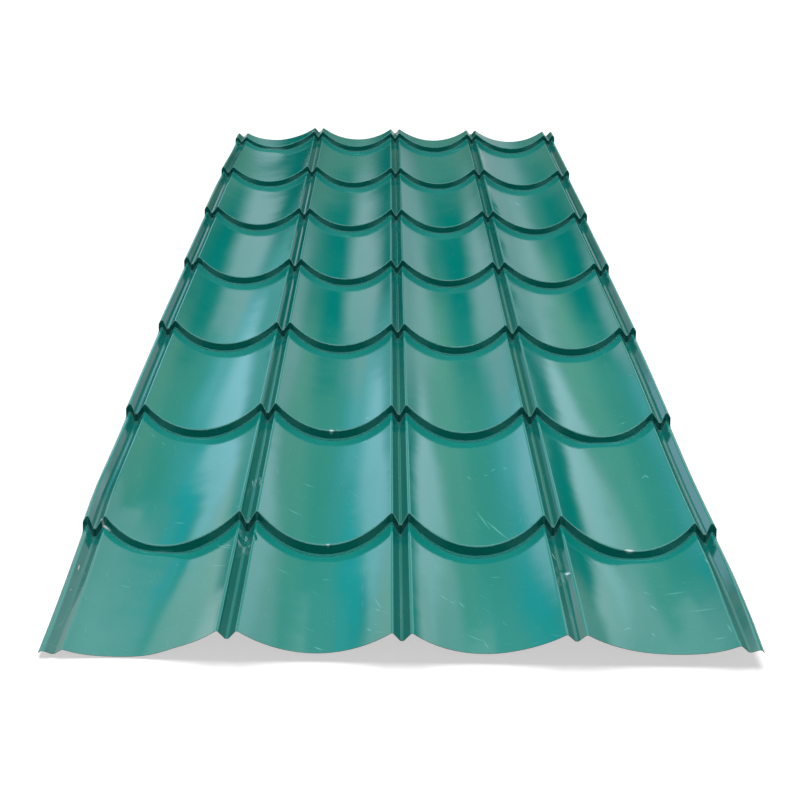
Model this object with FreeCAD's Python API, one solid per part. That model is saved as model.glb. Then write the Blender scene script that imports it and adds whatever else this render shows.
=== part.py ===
import FreeCAD, Part
import os
from math import asin, atan, atan2, cos, degrees, radians, sin, sqrt, tan

# Tile effect metal roofing sheet, one roll formed and step pressed piece of thin coated steel.
# Lies flat on its pan bottoms. X runs across the sheet, Y from the eave end (-) to the ridge end (+), Z up.
# Millimetres.

# Across the sheet, measured square to a row
PITCH = 207.0          # rib to rib, one tile wide
PANS = 4               # tiles across
PAN_DEPTH = 29.5       # rib crest down to the bottom of a pan
GROOVE_WIDTH = 24.0    # crest to crest of the two ridges of a rib
GROOVE_DEPTH = 10.5    # crest down to the floor of the groove between them
GROOVE_FLOOR = 3.5     # width of that floor
CREST_RADIUS = 3.0     # outside radius of a ridge
LIP_SLOPE = 55.0       # degrees below level of the turned down lip on each long edge
LIP_LENGTH = 5.0       # straight part of that lip

# Along the sheet
MODULE = 350.0         # one tile long, lip to lip
STEPS = 7              # pressed steps
STEP_HEIGHT = 14.0     # lip down to the foot of the riser
RISER_LEAN = 15.0      # degrees, the foot of a riser stands ahead of its lip
SCALLOP = 1.45         # how far a step line runs ahead for each millimetre it dips
FRONT_LENGTH = 285.0   # eave cut to the first lip, on the crests
TAIL_LENGTH = 45.0     # last lip to the ridge cut, on the crests

THICKNESS = 0.5        # coated steel
RISER_SET_BACK = 2.6   # inner side of a riser behind its face, along the row, in thicknesses

half_groove = GROOVE_WIDTH / 2.0
half_pitch = PITCH / 2.0
run = half_pitch - half_groove
pan_radius = (run * run + PAN_DEPTH * PAN_DEPTH) / (2.0 * PAN_DEPTH) - CREST_RADIUS
foot_ahead = STEP_HEIGHT * tan(radians(RISER_LEAN))
rise = atan(STEP_HEIGHT / (MODULE - foot_ahead))
dip = atan(1.0 / SCALLOP)


def unit(x, z):
    n = sqrt(x * x + z * z)
    return (x / n, z / n)


def along(c, r, u):
    return (c[0] + r * u[0], c[1] + r * u[1])


def point(p):
    return FreeCAD.Vector(p[0], 0.0, p[1])


def arc(c, r, u0, u1):
    """Arc about c from direction u0 to direction u1, the short way."""
    um = unit(u0[0] + u1[0], u0[1] + u1[1])
    return Part.Arc(point(along(c, r, u0)), point(along(c, r, um)), point(along(c, r, u1))).toShape()


def line(a, b):
    return Part.makeLine(point(a), point(b))


def mirrored(u):
    return (-u[0], u[1])


# Directions of the tangent points, seen from the centre of a right hand ridge.
ridge_z = -CREST_RADIUS
pan_z = pan_radius - PAN_DEPTH
to_pan = unit(run, pan_z - ridge_z)
away = (half_groove - GROOVE_FLOOR / 2.0, GROOVE_DEPTH - CREST_RADIUS)
flank = atan2(away[1], away[0]) + asin(CREST_RADIUS / sqrt(away[0] ** 2 + away[1] ** 2))
to_groove = (-sin(flank), cos(flank))
to_lip = (sin(radians(LIP_SLOPE)), cos(radians(LIP_SLOPE)))
lip_way = (cos(radians(LIP_SLOPE)), -sin(radians(LIP_SLOPE)))


def skin(depth):
    """Edges of one skin from the left edge to the right. Depth 0 is the weather side."""
    rc = CREST_RADIUS - depth
    rp = pan_radius + depth
    floor = GROOVE_FLOOR / 2.0 + depth * tan(flank / 2.0)
    edges = []
    for i in range(PANS + 1):
        x = PITCH * (i - PANS / 2.0)
        left = (x - half_groove, ridge_z)
        right = (x + half_groove, ridge_z)
        start = mirrored(to_lip if i == 0 else to_pan)
        end = to_lip if i == PANS else to_pan
        corners = [(x - floor, -GROOVE_DEPTH - depth), (x + floor, -GROOVE_DEPTH - depth)]
        if i == 0:
            a = along(left, rc, start)
            edges.append(line(along(a, LIP_LENGTH, mirrored(lip_way)), a))
        edges.append(arc(left, rc, start, mirrored(to_groove)))
        edges.append(line(along(left, rc, mirrored(to_groove)), corners[0]))
        edges.append(line(corners[0], corners[1]))
        edges.append(line(corners[1], along(right, rc, to_groove)))
        edges.append(arc(right, rc, to_groove, end))
        if i == PANS:
            a = along(right, rc, end)
            edges.append(line(a, along(a, LIP_LENGTH, lip_way)))
        else:
            edges.append(arc((x + half_pitch, pan_z), -rp, to_pan, mirrored(to_pan)))
    return edges


# Towards the eave a row rises to its lip, and the riser drops from there to the next row. The step lines lie
# in planes that dip towards the eave, so they run ahead in the pans.
row_way = FreeCAD.Vector(0.0, cos(rise), -sin(rise))
across = FreeCAD.Vector(1.0, 0.0, 0.0)
plane_way = FreeCAD.Vector(0.0, -cos(dip), -sin(dip))
plane_normal = across.cross(plane_way)
if plane_normal.dot(row_way) < 0:
    plane_normal = plane_normal.negative()
row_long = (MODULE - foot_ahead) / cos(rise)
wide = PITCH * (PANS + 2)
slab = Part.makeBox(wide, 2.0 * wide, row_long * row_way.dot(plane_normal), FreeCAD.Vector(-wide / 2.0, -wide, 0.0))
slab.Placement = FreeCAD.Placement(FreeCAD.Vector(), FreeCAD.Rotation(across, plane_normal.cross(across), plane_normal, "ZXY"))


def row_skin(depth):
    """One skin of a row, between the planes of its lip and of the next foot, and its edges at the lip."""
    faces, lip = [], []
    for e in skin(depth):
        e.rotate(FreeCAD.Vector(), across, -degrees(rise))
        e.translate(row_way * (-wide))
        for f in e.extrude(row_way * (3.0 * wide)).common(slab).Faces:
            faces.append(f)
            lip += [g for g in f.Edges if max(abs(v.Point.dot(plane_normal)) for v in g.Vertexes) < 1e-6]
    return faces, lip


def ends_of(edges):
    """The leftmost and the rightmost point of a row of edges."""
    points = sorted((v.Point for e in edges for v in e.Vertexes), key=lambda p: p.x)
    return points[0], points[-1]


def moved(shape, v):
    shape = shape.copy()
    shape.translate(v)
    return shape


def strip(a, b, c, d):
    return Part.Face(Part.makePolygon([a, b, c, d, a]))


# The sheet is one row and one riser, copied along. The under side follows the same path a little further back.
lips = [FreeCAD.Vector(0.0, MODULE * k, 0.0) for k in range(-1, STEPS)]
drop = FreeCAD.Vector(0.0, -foot_ahead, -STEP_HEIGHT)
long_way = row_way * row_long
back = row_way * (RISER_SET_BACK * THICKNESS)
faces = []
outer, outer_lip = row_skin(0.0)
inner, inner_lip = row_skin(THICKNESS)
inner = [moved(f, back) for f in inner]
inner_lip = [moved(e, back) for e in inner_lip]
edge_points = list(zip(ends_of(outer_lip), ends_of(inner_lip)))
for k, lip in enumerate(lips):
    faces += [moved(f, lip) for f in outer + inner]
    for a, b in edge_points:
        faces.append(strip(a + lip, a + lip + long_way, b + lip + long_way, b + lip))
    if k > 0:
        faces += [moved(e, lip).extrude(drop) for e in outer_lip + inner_lip]
        for a, b in edge_points:
            faces.append(strip(a + lip, a + lip + drop, b + lip + drop, b + lip))
for end in (lips[0], lips[-1] + long_way):
    for a, b in zip(outer_lip, inner_lip):
        faces.append(Part.makeRuledSurface(moved(a, end), moved(b, end)))
shell = Part.makeShell(faces)
shell.sewShape()
sheet = Part.Solid(shell)
if sheet.Volume < 0:
    sheet.reverse()

# Square cuts at the eave and the ridge end, then the middle of the sheet over the origin and its feet on the floor.
length = FRONT_LENGTH + MODULE * (STEPS - 1) + TAIL_LENGTH
sheet = sheet.common(Part.makeBox(wide, length, wide, FreeCAD.Vector(-wide / 2.0, -FRONT_LENGTH, -wide / 2.0))).Solids[0]
low = sheet.optimalBoundingBox(False, False).ZMin
sheet.translate(FreeCAD.Vector(0.0, FRONT_LENGTH - length / 2.0, -low))

os.makedirs("parts", exist_ok=True)
sheet.exportStep("parts/roofing_sheet.step")
box = sheet.optimalBoundingBox(False, False)
print("valid", sheet.isValid(), "closed", sheet.isClosed(), "faces", len(sheet.Faces), "volume", round(sheet.Volume, 1))
print("box", [round(v, 3) for v in (box.XMin, box.XMax, box.YMin, box.YMax, box.ZMin, box.ZMax)])
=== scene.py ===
from math import acos, asin, atan, atan2, cos, pi, radians, sin, sqrt, tan

import bpy
import numpy as np
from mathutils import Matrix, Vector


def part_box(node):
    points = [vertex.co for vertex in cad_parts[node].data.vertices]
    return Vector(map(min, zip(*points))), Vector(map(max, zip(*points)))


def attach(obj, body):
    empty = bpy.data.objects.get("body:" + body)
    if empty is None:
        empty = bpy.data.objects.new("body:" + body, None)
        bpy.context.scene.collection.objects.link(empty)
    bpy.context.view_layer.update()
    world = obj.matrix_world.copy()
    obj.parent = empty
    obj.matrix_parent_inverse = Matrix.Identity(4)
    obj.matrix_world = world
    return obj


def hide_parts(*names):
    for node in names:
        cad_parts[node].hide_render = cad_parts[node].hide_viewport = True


bl_info = {
    "name": "Tile Effect Roofing Sheet",
    "version": (1, 0, 0),
    "blender": (4, 5, 0),
    "location": "View3D > Sidebar > Roofing Sheet",
    "description": "Builds a glossy stepped metal roofing sheet with its coating and the studio it lies in",
    "category": "Add Mesh",
}

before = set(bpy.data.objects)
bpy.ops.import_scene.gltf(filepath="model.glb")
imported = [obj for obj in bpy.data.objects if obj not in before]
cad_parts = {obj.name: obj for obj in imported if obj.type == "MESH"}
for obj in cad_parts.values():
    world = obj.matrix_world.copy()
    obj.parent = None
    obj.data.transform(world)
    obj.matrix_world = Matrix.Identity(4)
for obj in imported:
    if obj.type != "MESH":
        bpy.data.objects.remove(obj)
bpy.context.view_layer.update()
SHEET_LOW, SHEET_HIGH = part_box("roofing_sheet")


class SheetSizes(bpy.types.PropertyGroup):
    """Sizes of the sheet, the same ones as in the part's source."""
    pitch: bpy.props.FloatProperty(
        name="Pitch", description="Rib to rib across the sheet", default=0.207, unit="LENGTH")
    pans: bpy.props.IntProperty(name="Pans", description="Tiles across", default=4)
    pan_depth: bpy.props.FloatProperty(
        name="Pan depth", description="Rib crest down to the bottom of a pan",
        default=0.0295, unit="LENGTH")
    groove_width: bpy.props.FloatProperty(
        name="Groove width", description="Crest to crest of the two ridges of a rib",
        default=0.024, unit="LENGTH")
    groove_depth: bpy.props.FloatProperty(
        name="Groove depth", description="Crest down to the floor of the groove",
        default=0.0105, unit="LENGTH")
    groove_floor: bpy.props.FloatProperty(
        name="Groove floor", description="Width of the groove's floor", default=0.0035, unit="LENGTH")
    groove_bend: bpy.props.FloatProperty(
        name="Groove bend", description="Inside radius where the floor meets a flank",
        default=0.0012, unit="LENGTH")
    crest_radius: bpy.props.FloatProperty(
        name="Crest radius", description="Outside radius of a ridge", default=0.003, unit="LENGTH")
    lip_slope: bpy.props.FloatProperty(
        name="Edge lip slope", description="How steeply the long edges turn down",
        default=radians(55.0), subtype="ANGLE")
    lip_length: bpy.props.FloatProperty(
        name="Edge lip length", description="Straight part of the long edges' lip",
        default=0.005, unit="LENGTH")
    pan_near: bpy.props.FloatProperty(
        name="Pan start", description="First step of the pan's grid beside a ridge",
        default=0.0008, unit="LENGTH")
    module: bpy.props.FloatProperty(
        name="Tile length", description="Step to step along the sheet", default=0.350, unit="LENGTH")
    steps: bpy.props.IntProperty(name="Steps", description="Pressed steps along the sheet", default=7)
    step_height: bpy.props.FloatProperty(
        name="Step height", description="Lip down to the foot of a riser", default=0.014, unit="LENGTH")
    riser_lean: bpy.props.FloatProperty(
        name="Riser lean", description="The foot of a riser stands ahead of its lip",
        default=radians(15.0), subtype="ANGLE")
    scallop: bpy.props.FloatProperty(
        name="Scallop", description="How far a step line runs ahead for each unit that it dips",
        default=1.45)
    front_length: bpy.props.FloatProperty(
        name="Front length", description="Eave cut to the first lip", default=0.285, unit="LENGTH")
    tail_length: bpy.props.FloatProperty(
        name="Tail length", description="Last lip to the ridge cut", default=0.045, unit="LENGTH")
    thickness: bpy.props.FloatProperty(
        name="Thickness", description="Coated steel", default=0.0005, unit="LENGTH")
    lip_radius: bpy.props.FloatProperty(
        name="Lip radius", description="Bend at the top of a riser", default=0.0024, unit="LENGTH")
    foot_radius: bpy.props.FloatProperty(
        name="Foot radius", description="Bend at the foot of the ledge", default=0.0003, unit="LENGTH")
    ledge_run: bpy.props.FloatProperty(
        name="Ledge run", description="Press mark ahead of the foot of a riser",
        default=0.0045, unit="LENGTH")
    ledge_height: bpy.props.FloatProperty(
        name="Ledge height", description="Height of that press mark", default=0.0011, unit="LENGTH")
    ledge_radius: bpy.props.FloatProperty(
        name="Ledge radius", description="Bends of that press mark", default=0.0005, unit="LENGTH")


class SheetHandling(bpy.types.PropertyGroup):
    """How far handling has bent the sheet."""
    front_left: bpy.props.FloatProperty(
        name="Front left corner", description="How hard this corner is pulled down",
        default=0.055, unit="LENGTH")
    front_right: bpy.props.FloatProperty(
        name="Front right corner", description="How hard this corner is pulled down",
        default=0.014, unit="LENGTH")
    back_left: bpy.props.FloatProperty(
        name="Back left corner", description="How hard this corner is pulled down",
        default=0.024, unit="LENGTH")
    left_sag: bpy.props.FloatProperty(
        name="Left sag", description="Sag of the left hand rib near the first steps",
        default=0.006, unit="LENGTH")
    right_sag: bpy.props.FloatProperty(
        name="Right sag", description="Sag of the right hand rib near the first steps",
        default=0.014, unit="LENGTH")
    front_lift: bpy.props.FloatProperty(
        name="Front lift", description="How far the right hand pans rise at the front cut",
        default=0.006, unit="LENGTH")
    splay: bpy.props.FloatProperty(
        name="Splay", description="How hard the outer ridges are pressed down at the front cut",
        default=0.008, unit="LENGTH")
    buckle: bpy.props.FloatProperty(
        name="Buckle", description="Height of the slow waves in the pans", default=0.0004, unit="LENGTH")


class CoatingLook(bpy.types.PropertyGroup):
    """Colours of the coil coating and the bare edge."""
    paint: bpy.props.FloatVectorProperty(
        name="Paint", description="Weather side coating",
        default=(0.0002, 0.232, 0.197), subtype="COLOR", size=3)
    scuff: bpy.props.FloatVectorProperty(
        name="Scuff", description="Coating where it is scratched",
        default=(0.14, 0.52, 0.46), subtype="COLOR", size=3)
    backing: bpy.props.FloatVectorProperty(
        name="Backing coat", description="Under side coating",
        default=(0.42, 0.44, 0.43), subtype="COLOR", size=3)
    # Painted shade: the share of the paint's tone left in the grooves of the ribs, darkened to stand in for
    # the shade that falls there.
    groove_painted_shade: bpy.props.FloatProperty(
        name="Groove shade", description="Share of the paint's tone that grime leaves in the grooves",
        default=0.62, subtype="FACTOR")
    nick: bpy.props.FloatVectorProperty(
        name="Nick", description="Coating knocked down to its pale primer", default=(0.72, 0.80, 0.79),
        subtype="COLOR", size=3)
    edge: bpy.props.FloatVectorProperty(
        name="Cut edge", description="Bare steel of the sheared edges",
        default=(0.10, 0.065, 0.045), subtype="COLOR", size=3)


class StudioLook(bpy.types.PropertyGroup):
    """Light, floor and camera."""
    key_strength: bpy.props.FloatProperty(
        name="Overhead light", description="Light of the wide soft lamp overhead on level ground",
        default=3.20)
    ambient: bpy.props.FloatProperty(
        name="Ambient", description="Strength of the even light from all round", default=0.12)
    hall: bpy.props.FloatProperty(
        name="Hall", description="Strength of what the gloss shows beyond the sheet", default=1.0)
    roof_glow: bpy.props.FloatProperty(
        name="Roof glow", description="Strength of what the gloss shows overhead", default=2.7)
    floor: bpy.props.FloatVectorProperty(
        name="Floor", description="Pale floor", default=(0.60, 0.60, 0.60), subtype="COLOR", size=3)
    lens: bpy.props.FloatProperty(
        name="Lens", description="Focal length for a 36 mm wide picture",
        default=64.89, subtype="DISTANCE_CAMERA")


def arc_points(centre, radius, start, end, count):
    """Points of a circle about centre from angle start to angle end, both included."""
    t = np.linspace(start, end, count)
    return np.stack([centre[0] + radius * np.cos(t), centre[1] + radius * np.sin(t)], axis=1)


# Points of the grid on a groove's bend, on a ridge and on a pan.
BEND_POINTS = 4
RIDGE_POINTS = 7
PAN_POINTS = 19

# Grid along the sheet: points on a riser's four bends from the ledge's front to the lip, the short step
# beside a bend in metres and the most that it takes of a straight, and the spacing and number of points
# on a straight.
RISER_POINTS = [4, 4, 4, 8]
BEND_STEP = 0.0012
BEND_STEP_SHARE = 0.3
ROW_SPACING = 0.006
FEWEST_POINTS = 2
MOST_POINTS = 8

# How far the path runs past both cuts, so that the dipping section reaches them everywhere.
PATH_SPARE = 0.09

# The weather side stays this many thicknesses above the bottom of the box, which keeps the under side in it.
LOWEST_SKIN = 1.2


def rib_section(s, left_end, right_end):
    """The double ridge and its groove, about x = 0, left to right, as points (x, height over the crest).

    Each ridge is an arc of the crest radius. From its tangent point a straight flank falls to the groove,
    whose flat floor meets it in a small arc. left_end and right_end are the angles, from level, of the
    outward normals at which the outer arcs stop.
    """
    half, floor = s.groove_width / 2, s.groove_floor / 2
    away = (half - floor, s.groove_depth - s.crest_radius)
    flank = atan2(away[1], away[0]) + asin(s.crest_radius / sqrt(away[0] ** 2 + away[1] ** 2))
    ridge = (half, -s.crest_radius)
    bend = (floor - s.groove_bend * tan(flank / 2), -s.groove_depth + s.groove_bend)
    right = [
        np.array([[0.0, -s.groove_depth]]),
        arc_points(bend, s.groove_bend, -pi / 2, -pi / 2 + flank, BEND_POINTS),
        arc_points(ridge, s.crest_radius, pi / 2 + flank, right_end, RIDGE_POINTS),
    ]
    right = np.concatenate(right)
    left = [
        arc_points((-half, -s.crest_radius), s.crest_radius, left_end, pi / 2 - flank, RIDGE_POINTS),
        arc_points((-bend[0], bend[1]), s.groove_bend, -pi / 2 - flank, -pi / 2, BEND_POINTS),
    ]
    return np.concatenate(left + [right])


def sheet_section(s):
    """The whole section from the left edge to the right, as points (x, height over the crest).

    Ribs stand a pitch apart. The arc of a pan touches the ridges on both sides of it and has its lowest
    point at the pan depth, which gives its radius: the square of half the ridge to ridge distance plus
    the square of the depth, over twice the depth, less the crest radius.
    """
    run = s.pitch / 2 - s.groove_width / 2
    radius = (run ** 2 + s.pan_depth ** 2) / (2 * s.pan_depth) - s.crest_radius
    tilt = atan2(radius - s.pan_depth + s.crest_radius, run)
    lip = pi / 2 - s.lip_slope
    down = np.array([cos(s.lip_slope), -sin(s.lip_slope)]) * s.lip_length
    parts = []
    for i in range(s.pans + 1):
        x = s.pitch * (i - s.pans / 2)
        rib = rib_section(s, pi - (lip if i == 0 else tilt), lip if i == s.pans else tilt) + [x, 0.0]
        if i == 0:
            edge = rib[0] + down * [-1, 1]
            parts.append(edge + (rib[0] - edge) * np.linspace(0, 0.8, 3)[:, None])
        parts.append(rib)
        if i < s.pans:
            centre = (x + s.pitch / 2, radius - s.pan_depth)
            near = s.pan_near / radius
            parts.append(arc_points(centre, radius, pi + tilt + near, 2 * pi - tilt - near, PAN_POINTS))
        else:
            parts.append(rib[-1] + down * np.linspace(0.2, 1, 3)[:, None])
    return np.concatenate(parts)


def rounded_chain(corners, radii, steps):
    """A chain of corners as a list of arcs, one for each corner between the first and the last.

    Each arc has the corner's radius and touches both its legs: its centre lies on the line that halves
    the corner, as far out as the radius over the sine of half the angle between the legs.
    """
    arcs = [corners[:1]]
    for before, here, after, radius, count in zip(corners[:-2], corners[1:-1], corners[2:], radii, steps):
        u = (before - here) / np.linalg.norm(before - here)
        v = (after - here) / np.linalg.norm(after - here)
        half = acos(float(np.clip(u @ v, -1, 1))) / 2
        reach = radius / tan(half)
        centre = here + (u + v) / np.linalg.norm(u + v) * radius / sin(half)
        a, b = here + u * reach - centre, here + v * reach - centre
        t = np.linspace(0, 1, count)[:, None]
        swing = pi - 2 * half
        arcs.append(centre + (np.sin((1 - t) * swing) * a + np.sin(t * swing) * b) / sin(swing))
    return arcs + [corners[-1:]]


def sheet_path(s):
    """The saw tooth that the section follows, as points (y, z), with its bends rounded.

    The first lip is at y = 0. A row falls from its lip to the next foot by the step height. A small ledge
    that the press leaves stands ahead of each foot, and from it the riser climbs to its lip, leaning
    back. A short step stands beside each bend, and the rest of a straight is divided evenly.
    """
    lean = tan(s.riser_lean)
    ahead = s.step_height * lean
    slope = s.step_height / (s.module - ahead)
    low = -s.step_height
    high = low + s.ledge_height
    corners = [(-s.front_length - PATH_SPARE, low + slope * (s.front_length - ahead + PATH_SPARE))]
    for k in range(s.steps):
        foot = s.module * k - ahead + s.ledge_height * lean
        edge = foot - s.ledge_run
        corners += [(edge - s.ledge_height * lean, low), (edge, high), (foot, high), (s.module * k, 0.0)]
    last = s.tail_length + PATH_SPARE
    corners.append((s.module * (s.steps - 1) + last, -slope * last))
    radii = [s.foot_radius, s.ledge_radius, s.ledge_radius, s.lip_radius] * s.steps
    arcs = rounded_chain(np.array(corners), radii, RISER_POINTS * s.steps)
    filled = [arcs[0]]
    for a, b in zip(arcs[:-1], arcs[1:]):
        gap = np.linalg.norm(b[0] - a[-1])
        near = min(BEND_STEP / gap, BEND_STEP_SHARE)
        count = max(FEWEST_POINTS, min(MOST_POINTS, int(gap / ROW_SPACING)))
        share = np.linspace(near, 1 - near, count)[:, None]
        filled.append(a[-1] + (b[0] - a[-1]) * share)
        filled.append(b)
    return np.concatenate(filled)


def smooth_step(t):
    """0 below 0, 1 above 1, and three t squared less two t cubed between."""
    t = np.clip(t, 0, 1)
    return t * t * (3 - 2 * t)


def past(distance, start, width):
    """0 up to the start, rising smoothly to 1 over the width behind it."""
    return smooth_step((distance - start) / width)


def near_cut(distance, reach):
    """1 at a cut, falling smoothly to 0 at the reach from it."""
    return smooth_step(1 - distance / reach)


def bell(distance, middle, spread):
    """1 at the middle, falling off to both sides in a bell curve."""
    return np.exp(-((distance - middle) / spread) ** 2)


def handled(s, h, x, y, z):
    """Where handling has left each point's height.

    Both front corners and the back left one are pulled down, most at the outer rib and at the cut. The
    outer ribs sag round the first two steps. The outermost ridges are pressed flatter at the front cut. A
    pull works on the room that a point has over the floor: the room shrinks by e to the minus pull over
    room, so nothing is pushed through the floor. The right hand pans rise a little at the front cut, the
    more the deeper they are, and slow waves run along all pans, as in any thin sheet.
    """
    front = y - SHEET_LOW[1]
    back = SHEET_HIGH[1] - y
    outer = s.pitch * s.pans / 2
    left = past(-x, start=0.26, width=0.16)
    right = past(x, start=0.22, width=0.20)
    pull = h.front_left * near_cut(front, reach=0.40) * left
    pull = pull + h.left_sag * bell(front, middle=0.55, spread=0.25) * left
    pull = pull + h.front_right * near_cut(front, reach=0.20) * past(x, start=0.30, width=0.12)
    pull = pull + h.back_left * near_cut(back, reach=0.55) * left
    pull = pull + h.right_sag * bell(front, middle=0.42, spread=0.30) * right
    pull = pull + h.splay * past(-x, start=outer, width=0.012) * near_cut(front, reach=0.25)
    pull = pull + h.splay * past(x, start=outer, width=0.012) * near_cut(front, reach=0.05)
    deep = np.clip((SHEET_HIGH[2] - z) / s.pan_depth, 0, 1)
    lift = h.front_lift * near_cut(front, reach=0.30) * past(x, start=0.0, width=0.25) * deep
    # Phases of the slow waves across and along, each bent by the other, so that no two tiles are alike.
    across = x * 31.0 + 1.3 * np.sin(y * 5.1)
    along = y * 17.0 + 2.0 * np.sin(x * 9.0)
    wave = np.sin(across) * np.sin(along)
    low = SHEET_LOW[2] + LOWEST_SKIN * s.thickness
    room = np.maximum(z + lift + h.buckle * wave - low, 1e-6)
    return np.clip(low + room * np.exp(-pull / room), low, SHEET_HIGH[2])


def sheet_surface(s, h):
    """The weather side as a grid of points, one row of the grid for each point of the path.

    The section lies in planes that dip towards the eave, so it is slid along its row until it meets that
    plane: a point at depth d moves by d square to the row, and ahead along the row by d times the
    cotangent of the angle between the plane and the row. Past the square cuts at both ends each point
    slides back along the row to the cut.
    """
    ahead = s.step_height * tan(s.riser_lean)
    rise = atan(s.step_height / (s.module - ahead))
    dip = atan(1 / s.scallop)
    slide = 1 / tan(dip + rise)
    section, path = sheet_section(s), sheet_path(s)
    x = np.broadcast_to(section[:, 0], (len(path), len(section))).copy()
    d = -section[:, 1]
    y = path[:, :1] - d * (sin(rise) + slide * cos(rise))
    z = path[:, 1:] - d * (cos(rise) - slide * sin(rise))
    length = s.front_length + s.module * (s.steps - 1) + s.tail_length
    y = y + s.front_length - length / 2
    z = z + SHEET_HIGH[2]
    for limit, side in ((-length / 2, -1), (length / 2, 1)):
        over = np.maximum(0, side * (y - limit))
        y = y - side * over
        z = z + side * over * tan(rise)
    return np.stack([x, y, handled(s, h, x, y, z)], axis=2)


def cut_rows(grid):
    """Spreads each column evenly up to the cuts, so that no face collapses where the grid meets them.

    Down each column the points that the cut holds are spread along the straight stretch between the cut
    and the first free point inside it.
    """
    grid = grid.copy()
    n = len(grid)
    for flip in (False, True):
        g = grid[::-1] if flip else grid
        held = np.isclose(g[:, :, 1], g[0, :, 1], atol=1e-7)
        last = np.argmin(held, axis=0)
        k = np.arange(n)[:, None]
        share = np.clip(k / np.maximum(last, 1), 0, 1)[:, :, None]
        inner = g[last, np.arange(g.shape[1])]
        start = g[0]
        g[:] = np.where(k[:, :, None] < last[None, :, None], start + (inner - start) * share, g)
    return grid


def grid_normals(grid):
    """Unit normals of a grid, from the cross product of its slopes along the columns and the rows."""
    along = np.gradient(grid, axis=0)
    across = np.gradient(grid, axis=1)
    n = np.cross(across, along)
    return n / np.linalg.norm(n, axis=2, keepdims=True)


def sheet_mesh(name, top, thickness):
    """A closed sheet from its weather side: the under side is the same grid moved in by the thickness."""
    rows, columns = top.shape[:2]
    under = np.clip(top - grid_normals(top) * thickness, SHEET_LOW, SHEET_HIGH)
    count = rows * columns
    index = np.arange(count).reshape(rows, columns)

    def quads(a, b, c, d):
        return np.stack([a, b, c, d], axis=-1).reshape(-1, 4)

    upper = quads(index[:-1, :-1], index[:-1, 1:], index[1:, 1:], index[1:, :-1])
    lower = upper[:, ::-1] + count
    rim = np.concatenate([index[0, :-1], index[:-1, -1], index[-1, :0:-1], index[:0:-1, 0]])
    after = np.roll(rim, -1)
    edge = quads(after, rim, rim + count, after + count)
    faces = np.concatenate([upper, lower, edge])
    mesh = bpy.data.meshes.new(name)
    mesh.vertices.add(2 * count)
    mesh.vertices.foreach_set("co", np.concatenate([top.reshape(-1, 3), under.reshape(-1, 3)]).ravel())
    mesh.loops.add(faces.size)
    mesh.loops.foreach_set("vertex_index", faces.ravel().astype(np.int32))
    mesh.polygons.add(len(faces))
    mesh.polygons.foreach_set("loop_start", np.arange(0, faces.size, 4, dtype=np.int32))
    coats = np.repeat([0, 1, 2], [len(upper), len(lower), len(edge)])
    mesh.polygons.foreach_set("material_index", coats.astype(np.int32))
    mesh.update(calc_edges=True)
    mesh.validate()
    mesh.shade_smooth()
    mesh.set_sharp_from_angle(angle=radians(60))
    return mesh


def new_group(name, inputs, outputs):
    """A shader node group with named sockets, its input and output nodes."""
    group = bpy.data.node_groups.new(name, "ShaderNodeTree")
    for label, kind, value in inputs:
        socket = group.interface.new_socket(name=label, in_out="INPUT", socket_type=kind)
        socket.default_value = value
    for label, kind in outputs:
        group.interface.new_socket(name=label, in_out="OUTPUT", socket_type=kind)
    return group, group.nodes.new("NodeGroupInput"), group.nodes.new("NodeGroupOutput")


def math_node(tree, operation, a, b=None, c=None, clamp=False):
    """A Math node fed with sockets or numbers."""
    node = tree.nodes.new("ShaderNodeMath")
    node.operation = operation
    node.use_clamp = clamp
    for i, value in enumerate((a, b, c)):
        if value is None:
            continue
        if isinstance(value, bpy.types.NodeSocket):
            tree.links.new(value, node.inputs[i])
        else:
            node.inputs[i].default_value = value
    return node.outputs[0]


def mix_colour(tree, factor, a, b):
    """A colour Mix node fed with sockets or values."""
    node = tree.nodes.new("ShaderNodeMix")
    node.data_type = "RGBA"
    for key, value in ((0, factor), (6, a), (7, b)):
        if isinstance(value, bpy.types.NodeSocket):
            tree.links.new(value, node.inputs[key])
        else:
            node.inputs[key].default_value = value
    return node.outputs[2]


def noise_node(tree, vector, scale, detail, roughness=0.5):
    """A Noise texture over a vector, with Blender's own roughness where none is given."""
    node = tree.nodes.new("ShaderNodeTexNoise")
    node.inputs["Scale"].default_value = scale
    node.inputs["Detail"].default_value = detail
    node.inputs["Roughness"].default_value = roughness
    tree.links.new(vector, node.inputs["Vector"])
    return node.outputs["Fac"]


def bump_node(tree, height, strength, distance):
    """A Bump node over a height."""
    node = tree.nodes.new("ShaderNodeBump")
    node.inputs["Strength"].default_value = strength
    node.inputs["Distance"].default_value = distance
    tree.links.new(height, node.inputs["Height"])
    return node.outputs[0]


def coat_material(name):
    """A material with its node tree, its shader and the place on the sheet that its textures use."""
    material = bpy.data.materials.new(name)
    material.use_nodes = True
    tree = material.node_tree
    place = tree.nodes.new("ShaderNodeTexCoord").outputs["Object"]
    return material, tree, tree.nodes["Principled BSDF"], place


def tint(colour, *factors):
    """A colour darkened or lightened by one factor, or by one for each channel, and kept to 1 at most."""
    factors = factors * 3 if len(factors) == 1 else factors
    return tuple(min(1.0, c * f) for c, f in zip(colour, factors)) + (1,)


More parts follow.
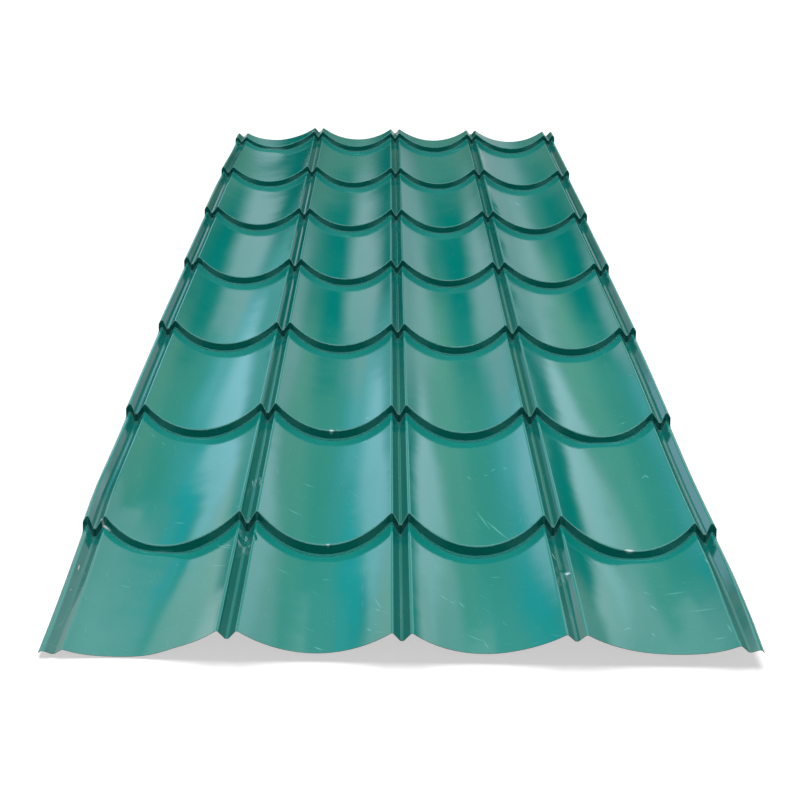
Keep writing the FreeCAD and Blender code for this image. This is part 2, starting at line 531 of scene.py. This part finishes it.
def stroke_group():
    """One soft stroke: 1 at its middle, falling evenly to 0 on the ellipse of its half sizes."""
    group, start, end = new_group(
        "soft_stroke",
        [("Position", "NodeSocketVector", (0, 0, 0)), ("Middle", "NodeSocketVector", (0, 0, 0)),
         ("Turn", "NodeSocketVector", (0, 0, 0)), ("Half", "NodeSocketVector", (1, 1, 1)),
         ("Strength", "NodeSocketFloat", 1.0)],
        [("Mask", "NodeSocketFloat")])
    t = group
    own = t.nodes.new("ShaderNodeMapping")
    own.vector_type = "TEXTURE"
    own_sockets = {"Vector": "Position", "Location": "Middle", "Rotation": "Turn", "Scale": "Half"}
    for key, label in own_sockets.items():
        t.links.new(start.outputs[label], own.inputs[key])
    far = t.nodes.new("ShaderNodeVectorMath")
    far.operation = "LENGTH"
    t.links.new(own.outputs[0], far.inputs[0])
    inside = math_node(t, "SUBTRACT", 1.0, far.outputs["Value"], clamp=True)
    t.links.new(math_node(t, "MULTIPLY", inside, start.outputs["Strength"]), end.inputs["Mask"])
    return group


def rub_group():
    """Short rubs: a soft stroke at the random point of some cells, each turned by its cell's own colour."""
    group, start, end = new_group(
        "short_rubs",
        [("Position", "NodeSocketVector", (0, 0, 0)), ("Cells", "NodeSocketFloat", 30.0),
         ("Turn", "NodeSocketFloat", 0.0), ("Spread", "NodeSocketFloat", 1.0),
         ("Share", "NodeSocketFloat", 0.3),
         ("Half", "NodeSocketVector", (0.007, 0.0007, 1.0))],
        [("Mask", "NodeSocketFloat")])
    t = group
    cells = t.nodes.new("ShaderNodeTexVoronoi")
    cells.voronoi_dimensions = "2D"
    t.links.new(start.outputs["Position"], cells.inputs["Vector"])
    t.links.new(start.outputs["Cells"], cells.inputs["Scale"])
    own = t.nodes.new("ShaderNodeVectorMath")
    own.operation = "SUBTRACT"
    t.links.new(start.outputs["Position"], own.inputs[0])
    t.links.new(cells.outputs["Position"], own.inputs[1])
    luck = t.nodes.new("ShaderNodeSeparateColor")
    t.links.new(cells.outputs["Color"], luck.inputs[0])
    swing = math_node(t, "SUBTRACT", luck.outputs[0], 0.5)
    swing = math_node(t, "MULTIPLY", swing, start.outputs["Spread"])
    turn = t.nodes.new("ShaderNodeVectorRotate")
    turn.rotation_type = "Z_AXIS"
    t.links.new(own.outputs[0], turn.inputs["Vector"])
    t.links.new(math_node(t, "SUBTRACT", swing, start.outputs["Turn"]), turn.inputs["Angle"])
    size = t.nodes.new("ShaderNodeVectorMath")
    size.operation = "DIVIDE"
    t.links.new(turn.outputs[0], size.inputs[0])
    t.links.new(start.outputs["Half"], size.inputs[1])
    far = t.nodes.new("ShaderNodeVectorMath")
    far.operation = "LENGTH"
    t.links.new(size.outputs[0], far.inputs[0])
    inside = math_node(t, "SUBTRACT", 1.0, far.outputs["Value"], clamp=True)
    picked = math_node(t, "LESS_THAN", luck.outputs[1], start.outputs["Share"])
    inside = math_node(t, "MULTIPLY", math_node(t, "MULTIPLY", inside, picked), luck.outputs[2])
    t.links.new(inside, end.inputs["Mask"])
    return group


# The two noises of the handling film, smears and hair lines: their turn in degrees, how far they are
# drawn out, scale and detail, the value from which they show, and how fast they come up from it.
SMEARS = (8, (1.0, 3.5, 1.0), 7.0, 4.0, 0.46, 3.4)
HAIRS = (-38, (12.0, 1.0, 1.0), 420.0, 3.0, 0.58, 6.0)
FILM_NOISE_ROUGHNESS = 0.62


def film_group():
    """Handling film: faint smears drawn out along the sheet, and hair lines that lean across it."""
    group, start, end = new_group(
        "handling_film",
        [("Position", "NodeSocketVector", (0, 0, 0)), ("Amount", "NodeSocketFloat", 0.5)],
        [("Mask", "NodeSocketFloat"), ("Hairs", "NodeSocketFloat")])
    t = group
    parts = []
    for turn, drawn, scale, detail, threshold, gain in (SMEARS, HAIRS):
        lean = t.nodes.new("ShaderNodeMapping")
        lean.vector_type = "TEXTURE"
        lean.inputs["Scale"].default_value = drawn
        lean.inputs["Rotation"].default_value = (0, 0, radians(turn))
        t.links.new(start.outputs["Position"], lean.inputs["Vector"])
        noise = noise_node(t, lean.outputs[0], scale, detail, FILM_NOISE_ROUGHNESS)
        parts.append(math_node(t, "MULTIPLY", math_node(t, "SUBTRACT", noise, threshold), gain, clamp=True))
    soft, fine = parts
    fine = math_node(t, "MULTIPLY", fine, soft)
    t.links.new(math_node(t, "MULTIPLY", soft, start.outputs["Amount"]), end.inputs["Mask"])
    t.links.new(math_node(t, "MULTIPLY", fine, start.outputs["Amount"]), end.inputs["Hairs"])
    return group


def add_group(tree, group, position, **values):
    """Places a node group in a material, feeds it the position and sets its values."""
    node = tree.nodes.new("ShaderNodeGroup")
    node.node_tree = group
    tree.links.new(position, node.inputs["Position"])
    for label, value in values.items():
        node.inputs[label.replace("_", " ")].default_value = value
    return node


# Marks on the weather side, by tile: (row, pan), both counted from the front left. Each mark has its
# place as shares of the tile, across from rib to rib and along from the near step line to the far one,
# then its length in millimetres, the way it runs in degrees from the x axis, and its strength.
SCRATCHES = {
    (0, 0): [(0.87, 0.84, 40, -55, 0.7), (0.90, 0.82, 12, -55, 1.0), (0.86, 0.66, 28, -45, 0.6),
             (0.29, 0.62, 12, -20, 0.6)],
    (0, 1): [(0.26, 0.72, 18, -20, 0.6), (0.53, 0.72, 10, 0, 0.6), (0.52, 0.04, 12, -35, 1.0),
             (0.86, 0.26, 10, -65, 0.8), (0.81, 0.12, 10, -60, 0.8), (0.86, 0.32, 30, -75, 0.6)],
    (0, 2): [(0.26, 0.47, 12, -35, 1.0), (0.31, 0.45, 8, -30, 0.9), (0.37, 0.45, 12, -60, 0.9),
             (0.60, 0.75, 12, -5, 0.6), (0.43, 0.14, 22, -30, 0.7), (0.49, 0.08, 16, -75, 0.7)],
    (0, 3): [(0.20, 0.80, 14, -55, 0.6), (0.53, 0.62, 12, -40, 0.6), (0.54, 0.46, 14, -60, 1.0),
             (0.48, 0.18, 8, -65, 0.9), (0.33, 0.20, 16, 45, 0.7), (0.70, 0.58, 22, -5, 0.8),
             (0.81, 0.36, 30, -12, 0.8), (0.85, 0.10, 12, -10, 0.8), (0.94, 0.72, 12, -75, 0.9),
             (0.92, 0.15, 18, -85, 0.7)],
    (1, 0): [(0.16, 0.88, 10, -50, 0.6), (0.25, 0.86, 8, -45, 0.6), (0.53, 0.18, 14, -15, 0.6)],
    (1, 1): [(0.36, 0.50, 16, -20, 0.7), (0.29, 0.22, 22, -25, 0.7), (0.74, 0.90, 10, 50, 0.8)],
    (1, 2): [(0.50, 0.62, 10, -60, 0.8), (0.62, 0.63, 8, -40, 0.7), (0.68, 0.66, 8, 35, 1.0),
             (0.76, 0.63, 10, -70, 0.7), (0.56, 0.22, 50, -75, 0.7), (0.64, 0.12, 60, -68, 0.8)],
    (1, 3): [(0.76, 0.61, 9, 50, 0.9), (0.78, 0.60, 11, -75, 0.9)],
    (2, 1): [(0.76, 0.06, 14, -60, 1.0)],
    (2, 3): [(0.73, 0.10, 10, 20, 0.7)],
    (4, 1): [(0.48, 0.90, 20, -15, 0.9)],
    (5, 1): [(0.48, 0.88, 25, -10, 0.8)],
    (5, 3): [(0.40, 0.60, 34, -70, 1.0)],
    (6, 1): [(0.52, 0.90, 30, 5, 0.8)],
    (6, 2): [(0.80, 0.90, 36, -15, 1.0)],
}

# Small chips on the pressed bends, in the same form.
NICKS = {
    (0, 2): [(0.97, 0.72, 9, -60, 1.0)],
    (0, 3): [(0.03, 0.55, 9, -60, 1.0)],
    (1, 0): [(0.06, 0.01, 16, -35, 1.5)],
    (1, 1): [(0.53, 0.01, 5, 0, 0.7)],
    (1, 3): [(0.49, 0.01, 11, 0, 1.5)],
    (2, 1): [(0.49, 0.01, 6, 0, 1.6)],
}

# Crumpled spots on the ribs: place as above, half length and half width in metres, and turn in degrees.
CRUMPLES = {
    (0, 1): [(-0.01, 0.92, 0.024, 0.010, -85), (0.0, 0.80, 0.018, 0.009, -80),
             (0.04, 0.86, 0.014, 0.007, -70)],
    (0, 3): [(0.0, 0.55, 0.018, 0.008, -75)],
    (1, 1): [(0.02, 0.30, 0.020, 0.008, -80)],
}

# Scattered short rubs: cells in a metre, middle and spread of their turn in degrees, the share of cells
# that hold one, and its half length and half width in metres.
RUBS = [
    (38.0, -35.0, 60.0, 0.30, (0.0065, 0.0007, 1.0)),
    (55.0, -75.0, 30.0, 0.18, (0.0045, 0.0006, 1.0)),
    (24.0, -60.0, 90.0, 0.30, (0.0130, 0.0008, 1.0)),
]


# Half length in metres of a stroke for each millimetre of its mark, over half because the ends fade. Half
# widths in metres in the front row, and the share by which they grow with each row, where only coarser
# marks show.
HALF_LENGTH = 0.0007
SCRATCH_HALF_WIDTH = 0.0012
NICK_HALF_WIDTH = 0.0020
ROW_WIDENING = 0.25

# Distance from a rib's middle where the shade painted into its groove begins, and where it is full.
PAINTED_SHADE_BEGINS = 0.0115
PAINTED_SHADE_FULL = 0.0085

# How much of the scuffed colour each layer of wear brings at its strongest.
FILM_WEAR = 0.03
HAIR_WEAR = 0.20
RUB_WEAR = 0.35
SCRATCH_WEAR = 0.9

# Roughness of the clean coating, and what full film and full wear add to it.
CLEAN_ROUGHNESS = 0.09
FILM_ROUGHNESS = 0.05
WORN_ROUGHNESS = 0.25

# How far the coating's tone swings both ways, and the heights in metres of its slow dents and of the
# creases in the crumpled spots.
TONE_SWING = 0.07
DENT_HEIGHT = 0.0006
CREASE_HEIGHT = 0.0055


def tile_place(s, tile, across, along):
    """Place in plan of a mark from the shares of its tile.

    Ahead of its ridges a step line hangs forward in a pan by the scallop times the depth, and the pan is
    taken as a parabola. The front row starts at the square cut instead of at a step line.
    """
    row, pan = tile
    ahead = s.scallop * s.pan_depth * max(0.0, 1 - (2 * across - 1) ** 2)
    cut = -(s.front_length + s.module * (s.steps - 1) + s.tail_length) / 2
    far = cut + s.front_length + s.module * row - ahead
    near = far - s.module if row else cut
    return s.pitch * (pan - s.pans / 2 + across), near + (far - near) * along


def strokes(tree, group, position, sizes, table, width):
    """The strongest of a table's strokes, as one mask; width is their half width in the front row."""
    mask = None
    for tile, marks in table.items():
        for across, along, length, turn, strength in marks:
            x, y = tile_place(sizes, tile, across, along)
            half = (length * HALF_LENGTH, width * (1 + ROW_WIDENING * tile[0]), 1.0)
            node = add_group(tree, group, position, Middle=(x, y, 0), Turn=(0, 0, radians(turn)),
                             Half=half, Strength=strength)
            own = node.outputs["Mask"]
            mask = own if mask is None else math_node(tree, "MAXIMUM", mask, own)
    return mask


def painted_shade_mask(tree, position, pitch):
    """1 in the grooves of the ribs, where shade is painted into the coating's colour, from the distance to
    the nearest rib's middle.
    """
    axes = tree.nodes.new("ShaderNodeSeparateXYZ")
    tree.links.new(position, axes.inputs[0])
    near = math_node(tree, "PINGPONG", axes.outputs["X"], pitch / 2)
    edge = tree.nodes.new("ShaderNodeMapRange")
    edge.interpolation_type = "SMOOTHSTEP"
    edge.inputs["From Min"].default_value = PAINTED_SHADE_BEGINS
    edge.inputs["From Max"].default_value = PAINTED_SHADE_FULL
    tree.links.new(near, edge.inputs["Value"])
    return edge.outputs["Result"]


def paint_material(look, sizes):
    """Glossy coil coating with a slow change of tone, painted shade in the ribs' grooves, film, rubs, marks,
    dents and crumpled spots.
    """
    material, t, shader, place = coat_material("teal_coil_coating")
    film = add_group(t, film_group(), place, Amount=0.8)
    stroke, rub = stroke_group(), rub_group()
    scratched = strokes(t, stroke, place, sizes, SCRATCHES, SCRATCH_HALF_WIDTH)
    nicked = strokes(t, stroke, place, sizes, NICKS, NICK_HALF_WIDTH)
    nicked = math_node(t, "MINIMUM", nicked, 1.0)
    rubbed = None
    for cells, turn, spread, share, half in RUBS:
        node = add_group(t, rub, place, Cells=cells, Turn=radians(turn), Spread=radians(spread),
                         Share=share, Half=half)
        own = node.outputs["Mask"]
        rubbed = own if rubbed is None else math_node(t, "MAXIMUM", rubbed, own)
    tone = noise_node(t, place, scale=3.2, detail=2.0)
    colour = mix_colour(t, tone, tint(look.paint, 1 - TONE_SWING), tint(look.paint, 1 + TONE_SWING))
    # Painted shade: the grooves take a darker copy of the paint, standing in for the shade that falls in
    # them.
    shade_in_grooves = painted_shade_mask(t, place, sizes.pitch)
    colour = mix_colour(t, shade_in_grooves, colour, tint(look.paint, look.groove_painted_shade))
    worn = math_node(t, "MULTIPLY", film.outputs["Hairs"], HAIR_WEAR)
    worn = math_node(t, "MULTIPLY_ADD", film.outputs["Mask"], FILM_WEAR, worn)
    worn = math_node(t, "MULTIPLY_ADD", rubbed, RUB_WEAR, worn)
    worn = math_node(t, "MULTIPLY_ADD", scratched, SCRATCH_WEAR, worn, clamp=True)
    colour = mix_colour(t, worn, colour, (*look.scuff, 1))
    colour = mix_colour(t, nicked, colour, (*look.nick, 1))
    t.links.new(colour, shader.inputs["Base Color"])
    rough = math_node(t, "MULTIPLY_ADD", film.outputs["Mask"], FILM_ROUGHNESS, CLEAN_ROUGHNESS)
    rough = math_node(t, "MULTIPLY_ADD", worn, WORN_ROUGHNESS, rough)
    t.links.new(rough, shader.inputs["Roughness"])
    dents = noise_node(t, place, scale=11.0, detail=2.0, roughness=0.45)
    creases = noise_node(t, place, scale=70.0, detail=1.0)
    crumpled = None
    for tile, spots in CRUMPLES.items():
        for across, along, length, width, turn in spots:
            x, y = tile_place(sizes, tile, across, along)
            node = add_group(t, stroke, place, Middle=(x, y, 0), Turn=(0, 0, radians(turn)),
                             Half=(length, width, 1.0))
            own = node.outputs["Mask"]
            crumpled = own if crumpled is None else math_node(t, "MAXIMUM", crumpled, own)
    height = math_node(t, "MULTIPLY", math_node(t, "MULTIPLY", creases, crumpled), CREASE_HEIGHT)
    height = math_node(t, "MULTIPLY_ADD", dents, DENT_HEIGHT, height)
    t.links.new(bump_node(t, height, strength=1.0, distance=1.0), shader.inputs["Normal"])
    shader.inputs["IOR"].default_value = 1.5
    return material


def backing_material(look):
    """Thin matt backing coat with roller streaks along the sheet."""
    material, t, shader, place = coat_material("grey_backing_coat")
    stretch = t.nodes.new("ShaderNodeMapping")
    stretch.inputs["Scale"].default_value = (60.0, 1.2, 60.0)
    t.links.new(place, stretch.inputs["Vector"])
    streak = noise_node(t, stretch.outputs[0], scale=2.0, detail=4.0)
    film = add_group(t, bpy.data.node_groups["handling_film"], place, Amount=1.0)
    base = mix_colour(t, streak, tint(look.backing, 0.88), tint(look.backing, 1.12))
    smeared = math_node(t, "MULTIPLY", film.outputs["Mask"], 0.25)
    colour = mix_colour(t, smeared, base, tint(look.backing, 0.6, 0.6, 0.55))
    t.links.new(colour, shader.inputs["Base Color"])
    t.links.new(math_node(t, "MULTIPLY_ADD", streak, 0.15, 0.42), shader.inputs["Roughness"])
    t.links.new(bump_node(t, streak, strength=0.2, distance=0.0002), shader.inputs["Normal"])
    return material


def edge_material(look):
    """Sheared steel with a little rust."""
    material, t, shader, place = coat_material("sheared_steel_edge")
    rust = noise_node(t, place, scale=90.0, detail=4.0)
    colour = mix_colour(t, rust, tint(look.edge, 1.3, 1.3, 1.35), tint(look.edge, 0.6, 0.5, 0.45))
    t.links.new(colour, shader.inputs["Base Color"])
    t.links.new(math_node(t, "MULTIPLY_ADD", rust, 0.3, 0.4), shader.inputs["Roughness"])
    shader.inputs["Metallic"].default_value = 0.35
    return material


class ROOFSHEET_OT_sheet(bpy.types.Operator):
    """Builds the stepped sheet and its coatings in place of the solid"""
    bl_idname = "roofsheet.sheet"
    bl_label = "Roofing Sheet"

    def execute(self, context):
        scene = context.scene
        sizes, look = scene.sheet_sizes, scene.coating_look
        top = cut_rows(sheet_surface(sizes, scene.sheet_handling))
        mesh = sheet_mesh("roofing_sheet_skin", top, sizes.thickness)
        if not len(mesh.polygons):
            raise RuntimeError("the sheet has no faces")
        for material in (paint_material(look, sizes), backing_material(look), edge_material(look)):
            mesh.materials.append(material)
        sheet = bpy.data.objects.new("roofing_sheet_skin", mesh)
        scene.collection.objects.link(sheet)
        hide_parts("roofing_sheet")
        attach(sheet, "root")
        return {"FINISHED"}


# What the gloss shows on the hall's far wall: soft edged patches as middle and half width across, middle
# and half height, softness, all in metres, and a colour. Each is laid over the ones before it.
WALL_PATCHES = {
    "low_left": (-1.75, 0.75, 0.25, 0.35, 0.15, (0.25, 0.55, 0.60)),
    "low_middle": (0.95, 0.55, 0.20, 0.40, 0.20, (0.45, 0.50, 0.55)),
    "low_olive": (0.02, 0.38, 0.33, 0.18, 0.15, (0.20, 0.24, 0.17)),
    "grey_haze": (0.0, 9.0, 2.35, 0.45, 0.40, (0.50, 0.75, 0.70)),
    "olive_middle": (0.10, 0.55, 1.70, 0.48, 0.22, (0.31, 0.46, 0.30)),
    "beige_left": (-2.75, 0.80, 1.60, 1.10, 0.30, (1.15, 1.30, 1.25)),
    "blue_left": (-1.25, 0.55, 1.78, 0.35, 0.28, (0.10, 0.80, 1.15)),
    "blue_high": (-1.28, 0.20, 2.55, 0.45, 0.18, (0.30, 0.90, 1.20)),
    "grey_left": (-0.62, 0.30, 1.60, 0.40, 0.22, (0.30, 0.62, 0.70)),
    "door_left": (-0.95, 0.32, 1.15, 0.45, 0.22, (0.50, 1.05, 1.35)),
    "window_left": (-1.60, 0.50, 1.05, 0.45, 0.20, (1.15, 1.75, 2.20)),
    "pale_sack": (-0.58, 0.34, 0.78, 0.36, 0.18, (0.80, 0.84, 0.95)),
    "olive_right": (0.85, 0.45, 1.55, 0.75, 0.30, (0.52, 0.66, 0.43)),
    "low_right": (0.95, 0.28, 0.70, 0.25, 0.18, (0.75, 0.80, 0.85)),
    "wall_right": (1.75, 0.60, 1.95, 0.60, 0.25, (1.10, 1.15, 1.15)),
    "window_right": (1.75, 0.50, 1.10, 0.45, 0.18, (1.38, 1.65, 1.85)),
    "edge_right": (2.50, 0.32, 1.45, 0.60, 0.18, (1.40, 1.50, 1.55)),
    "edge_left": (-2.95, 0.22, 0.85, 0.60, 0.15, (1.70, 1.80, 1.85)),
    "end_left": (-3.60, 0.30, 0.50, 0.60, 0.15, (1.10, 1.20, 1.20)),
    "brown_right": (2.95, 0.35, 0.80, 0.60, 0.15, (0.55, 0.45, 0.40)),
    "beam_right": (0.85, 0.80, 2.62, 0.20, 0.18, (1.45, 1.55, 1.50)),
    "roof_edge": (0.0, 9.0, 3.50, 0.85, 0.22, (1.20, 1.25, 1.35)),
    "roof_light": (0.20, 1.80, 3.75, 0.60, 0.22, (2.10, 2.20, 2.30)),
}


def soft_patch_group():
    """A soft edged rectangle on the far wall: 1 inside, falling to 0 over the softness."""
    group, start, end = new_group(
        "soft_patch",
        [("Position", "NodeSocketVector", (0, 0, 0)), ("Middle X", "NodeSocketFloat", 0.0),
         ("Half X", "NodeSocketFloat", 1.0), ("Middle Z", "NodeSocketFloat", 0.0),
         ("Half Z", "NodeSocketFloat", 1.0), ("Softness", "NodeSocketFloat", 0.1)],
        [("Mask", "NodeSocketFloat")])
    t = group
    place = t.nodes.new("ShaderNodeSeparateXYZ")
    t.links.new(start.outputs["Position"], place.inputs[0])
    sides = []
    for axis in "XZ":
        off = math_node(t, "SUBTRACT", place.outputs[axis], start.outputs["Middle " + axis])
        off = math_node(t, "ABSOLUTE", off)
        inside = math_node(t, "SUBTRACT", start.outputs["Half " + axis], off)
        side = t.nodes.new("ShaderNodeMapRange")
        side.interpolation_type = "SMOOTHSTEP"
        t.links.new(inside, side.inputs["Value"])
        t.links.new(math_node(t, "MULTIPLY", start.outputs["Softness"], -1.0), side.inputs["From Min"])
        t.links.new(start.outputs["Softness"], side.inputs["From Max"])
        sides.append(side.outputs["Result"])
    t.links.new(math_node(t, "MULTIPLY", sides[0], sides[1]), end.inputs["Mask"])
    return group


def glow_material(name):
    """A material that only glows, with its node tree, its glow and the place that its textures use."""
    material = bpy.data.materials.new(name)
    material.use_nodes = True
    tree = material.node_tree
    tree.nodes.clear()
    place = tree.nodes.new("ShaderNodeTexCoord").outputs["Object"]
    glow = tree.nodes.new("ShaderNodeEmission")
    out = tree.nodes.new("ShaderNodeOutputMaterial")
    tree.links.new(glow.outputs[0], out.inputs["Surface"])
    return material, tree, glow, place


def wall_material(strength):
    """The far wall of the hall, as the gloss of the sheet shows it."""
    material, t, glow, place = glow_material("far_wall")
    patch = soft_patch_group()
    colour = (0.0, 0.0, 0.0, 1)
    for middle_x, half_x, middle_z, half_z, softness, light in WALL_PATCHES.values():
        node = add_group(t, patch, place, Middle_X=middle_x, Half_X=half_x, Middle_Z=middle_z,
                         Half_Z=half_z, Softness=softness)
        colour = mix_colour(t, node.outputs["Mask"], colour, (*light, 1))
    t.links.new(colour, glow.inputs["Color"])
    glow.inputs["Strength"].default_value = strength
    return material


# The roof's glow: sine of the height angle from which it grows and where it is full, what is left of it
# below, and its colour.
ROOF_START = 0.35
ROOF_FULL = 0.85
SIDE_GLOW = 0.02
ROOF_COLOUR = (0.80, 1.0, 1.08)

# What the camera adds to the floor's own light, so that it shows white round the sheet.
FLOOR_LIFT = 0.55


def roof_material(strength):
    """The hall's bright roof over its dark sides: the glow grows with the height angle."""
    material, t, glow, place = glow_material("bright_roof")
    way = t.nodes.new("ShaderNodeVectorMath")
    way.operation = "NORMALIZE"
    t.links.new(place, way.inputs[0])
    axes = t.nodes.new("ShaderNodeSeparateXYZ")
    t.links.new(way.outputs[0], axes.inputs[0])
    high = t.nodes.new("ShaderNodeMapRange")
    high.interpolation_type = "SMOOTHSTEP"
    ends = {"From Min": ROOF_START, "From Max": ROOF_FULL, "To Min": SIDE_GLOW, "To Max": strength}
    for key, value in ends.items():
        high.inputs[key].default_value = value
    t.links.new(axes.outputs["Z"], high.inputs["Value"])
    glow.inputs["Color"].default_value = (*ROOF_COLOUR, 1)
    t.links.new(high.outputs["Result"], glow.inputs["Strength"])
    return material


def floor_material(colour):
    """Pale floor, lifted to white for the camera, that keeps the sheet's shadow."""
    material = bpy.data.materials.new("pale_floor")
    material.use_nodes = True
    t = material.node_tree
    shader = t.nodes["Principled BSDF"]
    shader.inputs["Base Color"].default_value = (*colour, 1)
    shader.inputs["Roughness"].default_value = 0.9
    shader.inputs["Specular IOR Level"].default_value = 0.0
    rays = t.nodes.new("ShaderNodeLightPath")
    glow = t.nodes.new("ShaderNodeEmission")
    lift = math_node(t, "MULTIPLY", rays.outputs["Is Camera Ray"], FLOOR_LIFT)
    t.links.new(lift, glow.inputs["Strength"])
    both = t.nodes.new("ShaderNodeAddShader")
    t.links.new(shader.outputs[0], both.inputs[0])
    t.links.new(glow.outputs[0], both.inputs[1])
    t.links.new(both.outputs[0], t.nodes["Material Output"].inputs["Surface"])
    return material


def plane_mesh(name, half, z):
    """A square of side twice half at height z."""
    mesh = bpy.data.meshes.new(name)
    corners = [(-half, -half, z), (half, -half, z), (half, half, z), (-half, half, z)]
    mesh.from_pydata(corners, [], [(0, 1, 2, 3)])
    return mesh


def wall_mesh(name, ahead, half, height):
    """An upright wall across the hall, facing back to the sheet."""
    mesh = bpy.data.meshes.new(name)
    corners = [(half, ahead, 0), (-half, ahead, 0), (-half, ahead, height), (half, ahead, height)]
    mesh.from_pydata(corners, [], [(0, 1, 2, 3)])
    return mesh


def dome_mesh(name, radius):
    """Half a sphere over the floor: a point at azimuth a and height angle e, seen from inside."""
    a, e = np.meshgrid(np.linspace(0, 2 * pi, 65)[:-1], np.linspace(-0.06, 0.497 * pi, 20))
    points = radius * np.stack([np.cos(e) * np.cos(a), np.cos(e) * np.sin(a), np.sin(e)], axis=2)
    index = np.arange(a.size).reshape(a.shape)
    after = np.roll(index, -1, axis=1)
    faces = np.stack([index[:-1], index[1:], after[1:], after[:-1]], axis=-1).reshape(-1, 4)
    top = [list(index[-1][::-1])]
    mesh = bpy.data.meshes.new(name)
    mesh.from_pydata(points.reshape(-1, 3).tolist(), [], faces.tolist() + top)
    return mesh


# The wide lamp: how wide it looks, and how far it leans from straight overhead, in degrees.
LAMP_WIDTH = 40
LAMP_LEAN = -20

# The camera, as fitted to the photo: its place in metres, how far it looks down, and its two other turns,
# in degrees.
CAMERA_PLACE = (-0.0299, -2.6219, 0.9883)
CAMERA_DOWN = 24.433
CAMERA_TILT = -0.982
CAMERA_SWING = -0.162


class ROOFSHEET_OT_stage(bpy.types.Operator):
    """Sets the pale floor, the soft lights, the surround that the gloss shows and the camera"""
    bl_idname = "roofsheet.stage"
    bl_label = "Studio"

    def execute(self, context):
        scene = context.scene
        look = scene.studio_look
        floor = bpy.data.objects.new("floor", plane_mesh("floor", half=40.0, z=-0.0005))
        floor.data.materials.append(floor_material(look.floor))
        roof = bpy.data.objects.new("hall_roof", dome_mesh("hall_roof", radius=16.0))
        roof.data.materials.append(roof_material(look.roof_glow))
        wall = bpy.data.objects.new("far_wall", wall_mesh("far_wall", ahead=3.2, half=4.0, height=3.7))
        wall.data.materials.append(wall_material(look.hall))
        for piece in (roof, wall):
            piece.visible_camera = False
            piece.visible_diffuse = False
            piece.visible_shadow = False
            piece.visible_transmission = False
        for piece in (floor, roof, wall):
            scene.collection.objects.link(piece)

        key = bpy.data.lights.new("overhead_light", "SUN")
        key.energy = look.key_strength
        key.angle = radians(LAMP_WIDTH)
        lamp = bpy.data.objects.new("overhead_light", key)
        lamp.rotation_euler = (radians(LAMP_LEAN), 0, 0)
        lamp.visible_glossy = False
        scene.collection.objects.link(lamp)

        world = bpy.data.worlds.new("white_surround")
        scene.world = world
        world.use_nodes = True
        t = world.node_tree
        t.nodes.clear()
        rays = t.nodes.new("ShaderNodeLightPath")
        seen = math_node(t, "MAXIMUM", rays.outputs["Is Glossy Ray"], rays.outputs["Is Transmission Ray"])
        seen = math_node(t, "MAXIMUM", rays.outputs["Is Camera Ray"], seen)
        even = t.nodes.new("ShaderNodeBackground")
        even.inputs["Color"].default_value = (1, 1, 1, 1)
        even.inputs["Strength"].default_value = look.ambient
        white = t.nodes.new("ShaderNodeBackground")
        white.inputs["Color"].default_value = (1, 1, 1, 1)
        white.inputs["Strength"].default_value = 1.0
        mix = t.nodes.new("ShaderNodeMixShader")
        t.links.new(seen, mix.inputs[0])
        t.links.new(even.outputs[0], mix.inputs[1])
        t.links.new(white.outputs[0], mix.inputs[2])
        out = t.nodes.new("ShaderNodeOutputWorld")
        t.links.new(mix.outputs[0], out.inputs["Surface"])

        camera = bpy.data.cameras.new("camera")
        camera.sensor_width = 36.0
        camera.lens = look.lens
        camera.clip_end = 200.0
        view = bpy.data.objects.new("camera", camera)
        view.location = CAMERA_PLACE
        view.rotation_euler = (radians(90 - CAMERA_DOWN), radians(CAMERA_TILT), radians(CAMERA_SWING))
        scene.collection.objects.link(view)
        scene.camera = view
        scene.view_settings.view_transform = "Standard"
        return {"FINISHED"}


class ROOFSHEET_PT_panel(bpy.types.Panel):
    """Sizes, colours and the buttons that build the sheet"""
    bl_label = "Roofing Sheet"
    bl_idname = "ROOFSHEET_PT_panel"
    bl_space_type = "VIEW_3D"
    bl_region_type = "UI"
    bl_category = "Roofing Sheet"

    def draw(self, context):
        for name, group in SETTINGS:
            box = self.layout.box()
            box.label(text=group.__doc__)
            for key in group.__annotations__:
                box.prop(getattr(context.scene, name), key)
        for operator in (ROOFSHEET_OT_sheet, ROOFSHEET_OT_stage):
            self.layout.operator(operator.bl_idname)


SETTINGS = (("sheet_sizes", SheetSizes), ("sheet_handling", SheetHandling), ("coating_look", CoatingLook),
            ("studio_look", StudioLook))
CLASSES = tuple(group for _, group in SETTINGS)
CLASSES += (ROOFSHEET_OT_sheet, ROOFSHEET_OT_stage, ROOFSHEET_PT_panel)


def register():
    for cls in CLASSES:
        bpy.utils.register_class(cls)
    for name, group in SETTINGS:
        setattr(bpy.types.Scene, name, bpy.props.PointerProperty(type=group))


def unregister():
    for name, _ in SETTINGS:
        delattr(bpy.types.Scene, name)
    for cls in reversed(CLASSES):
        bpy.utils.unregister_class(cls)


def main():
    register()
    bpy.ops.roofsheet.sheet()
    bpy.ops.roofsheet.stage()


if __name__ == "__main__":
    main()
